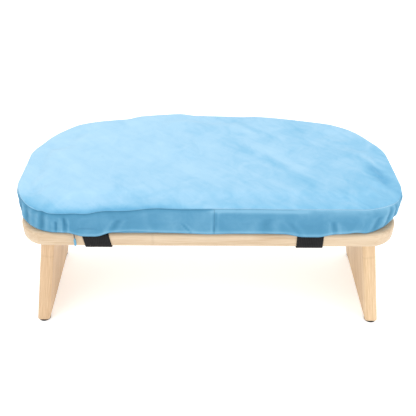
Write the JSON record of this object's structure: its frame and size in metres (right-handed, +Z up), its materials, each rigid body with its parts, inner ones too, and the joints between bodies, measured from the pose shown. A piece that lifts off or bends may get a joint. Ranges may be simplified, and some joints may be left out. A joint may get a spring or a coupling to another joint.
{
  "type": "folding kneeling bench",
  "caption": "Low D-shaped wooden seat on two splayed folding panel legs, with a zipped velvet cushion strapped on top.",
  "frame": {"origin": "on the floor, under the middle of the bench's bounding box", "axes": "+X to the bench's right as seen from its straight front edge, +Y towards the bowed back edge, +Z up"},
  "size_m": [0.4564, 0.215, 0.2044],
  "materials": {
    "bamboo": "satin",
    "black_rubber": "matte",
    "hinge_steel": "satin",
    "fastener_steel": "satin",
    "blue_velvet": "matte",
    "foam": "matte",
    "black_webbing": "matte",
    "hook_and_loop": "matte",
    "zip_tape": "matte",
    "zip_nylon": "satin",
    "slider_metal": "satin",
    "pull_plastic": "satin"
  },
  "bodies": {
    "bench": {"cover_bottom_panel": "blue_velvet", "cover_side_band": "blue_velvet", "cover_top_panel": "blue_velvet", "foam_core": "foam", "left_back_hinge_pin": "fastener_steel", "left_back_hinge_seat_leaf": "hinge_steel", "left_back_hinge_seat_screws": "fastener_steel", "left_front_hinge_pin": "fastener_steel", "left_front_hinge_seat_leaf": "hinge_steel", "left_front_hinge_seat_screws": "fastener_steel", "left_strap_back": "black_webbing", "left_strap_front": "black_webbing", "left_strap_hook_patch": "hook_and_loop", "left_strap_loop_patch": "hook_and_loop", "right_back_hinge_pin": "fastener_steel", "right_back_hinge_seat_leaf": "hinge_steel", "right_back_hinge_seat_screws": "fastener_steel", "right_front_hinge_pin": "fastener_steel", "right_front_hinge_seat_leaf": "hinge_steel", "right_front_hinge_seat_screws": "fastener_steel", "right_strap_back": "black_webbing", "right_strap_front": "black_webbing", "right_strap_hook_patch": "hook_and_loop", "right_strap_loop_patch": "hook_and_loop", "seat_board": "bamboo", "zip_coil": "zip_nylon", "zip_end_stops": "zip_nylon", "zip_tape_lower": "zip_tape", "zip_tape_upper": "zip_tape"},
    "left_leg": {"left_back_foot_pad": "black_rubber", "left_back_hinge_leg_leaf": "hinge_steel", "left_back_hinge_leg_screws": "fastener_steel", "left_front_foot_pad": "black_rubber", "left_front_hinge_leg_leaf": "hinge_steel", "left_front_hinge_leg_screws": "fastener_steel", "left_leg_panel": "bamboo"},
    "right_leg": {"right_back_foot_pad": "black_rubber", "right_back_hinge_leg_leaf": "hinge_steel", "right_back_hinge_leg_screws": "fastener_steel", "right_front_foot_pad": "black_rubber", "right_front_hinge_leg_leaf": "hinge_steel", "right_front_hinge_leg_screws": "fastener_steel", "right_leg_panel": "bamboo"},
    "zip_slider": {"zip_slider": "slider_metal"},
    "zip_pull": {"zip_pull": "pull_plastic"}
  },
  "joints": [
    {"name": "left_leg_fold", "type": "hinge", "parent": "bench", "child": "left_leg", "pos_m": [-0.18345, -0.01701, 0.13819], "axis": [0, -0.9976, -0.0698], "range_deg": [0, 100]},
    {"name": "right_leg_fold", "type": "hinge", "parent": "bench", "child": "right_leg", "pos_m": [0.18345, -0.01701, 0.13819], "axis": [0, 0.9976, 0.0698], "range_deg": [0, 100]},
    {"name": "zip_slide", "type": "slide", "parent": "bench", "child": "zip_slider", "axis": [1, 0, 0], "range_m": [0, 0.314]},
    {"name": "zip_pull_swing", "type": "hinge", "parent": "zip_slider", "child": "zip_pull", "pos_m": [-0.157, -0.1065, 0.15844], "axis": [-1, 0, 0], "range_deg": [0, 60]}
  ]
}
